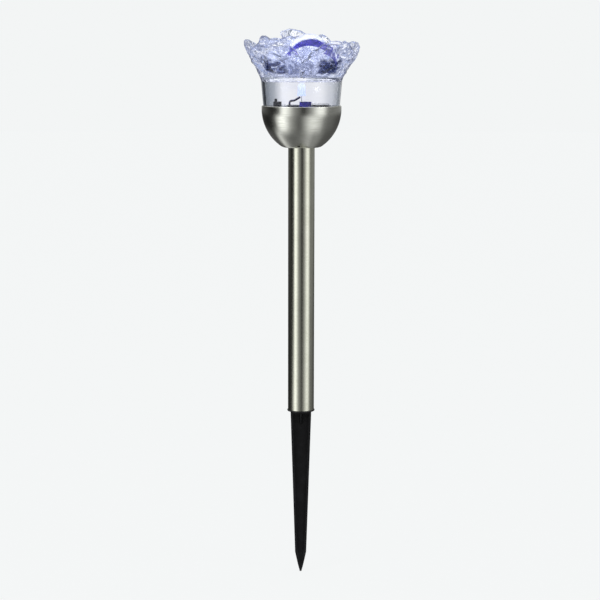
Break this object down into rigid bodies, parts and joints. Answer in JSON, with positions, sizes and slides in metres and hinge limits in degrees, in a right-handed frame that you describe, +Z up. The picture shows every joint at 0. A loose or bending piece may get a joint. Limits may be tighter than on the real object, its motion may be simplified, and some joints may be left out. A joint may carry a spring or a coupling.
{
  "type": "solar garden stake light",
  "caption": "Solar stake light: a clear rose-shaped cover over a lamp and solar cell, on a steel cup, a steel tube pole and a black plastic ground spike.",
  "frame": {"origin": "on the pole's axis at the ground line, which is the underside of the spike's flange", "axes": "+Z up the pole, -Y to the front"},
  "size_m": [0.0788, 0.0765, 0.3781],
  "materials": {
    "brushed_steel": "satin, brushed round the axis",
    "spike_plastic": "moulded, fine matt grain",
    "black_plastic": "moulded, matt",
    "white_plastic": "moulded, semi-gloss",
    "black_rubber": "soft, matt",
    "plated_steel": "bright nickel or zinc plating",
    "sleeve_film": "shrink film",
    "board_green": "solder mask",
    "chip_black": "moulded package",
    "choke_green": "lacquered",
    "silicon": "dark blue cell with fine silver lines",
    "clear_resin": "clear potting resin",
    "led_lens": "clear epoxy, lit blue from inside",
    "lead_insulation": "soft insulation",
    "clear_acrylic": "clear, polished, faintly blue"
  },
  "bodies": {
    "spike": {"ground_spike": "spike_plastic"},
    "pole": {"pole_tube": "brushed_steel"},
    "cup": {"steel_cup": "brushed_steel", "neck_plug": "black_plastic", "neck_o_ring": "black_rubber", "neck_washer": "plated_steel", "neck_screw": "plated_steel"},
    "switch": {"switch_lever": "black_plastic"},
    "flower": {"flower_cover": "clear_acrylic", "middle_petals": "clear_acrylic", "rose_heart": "clear_acrylic"},
    "lamp": {"module_housing": "black_plastic", "battery_door": "black_plastic", "door_screw": "plated_steel", "battery_cell": "plated_steel", "battery_sleeve": "sleeve_film", "positive_contact": "plated_steel", "negative_contact": "plated_steel", "circuit_board": "board_green", "driver_chip": "chip_black", "inductor": "choke_green", "lamp_deck": "white_plastic", "gasket_ring": "black_rubber", "deck_screws": "plated_steel", "led_holder": "black_plastic", "led_legs": "plated_steel", "led_bulb": "led_lens", "lamp_lead_front": "lead_insulation", "lamp_lead_rear": "lead_insulation", "terminal_board": "board_green", "terminal_pins": "plated_steel", "panel_pins": "plated_steel", "switch_pins": "plated_steel", "solar_board": "board_green", "solar_strips": "silicon", "panel_resin": "clear_resin", "switch_body": "black_plastic"}
  },
  "joints": [
    {"name": "pole_lift", "type": "slide", "parent": "spike", "child": "pole", "axis": [0, 0, 1], "range_m": [0, 0.03]},
    {"name": "head_lift", "type": "slide", "parent": "pole", "child": "cup", "axis": [0, 0, 1], "range_m": [0, 0.03]},
    {"name": "lamp_lift", "type": "slide", "parent": "cup", "child": "lamp", "axis": [0, 0, 1], "range_m": [0, 0.035]},
    {"name": "flower_lift", "type": "slide", "parent": "lamp", "child": "flower", "axis": [0, 0, 1], "range_m": [0, 0.035]},
    {"name": "switch_slide", "type": "slide", "parent": "lamp", "child": "switch", "axis": [0, 1, 0], "range_m": [0, 0.002]}
  ]
}
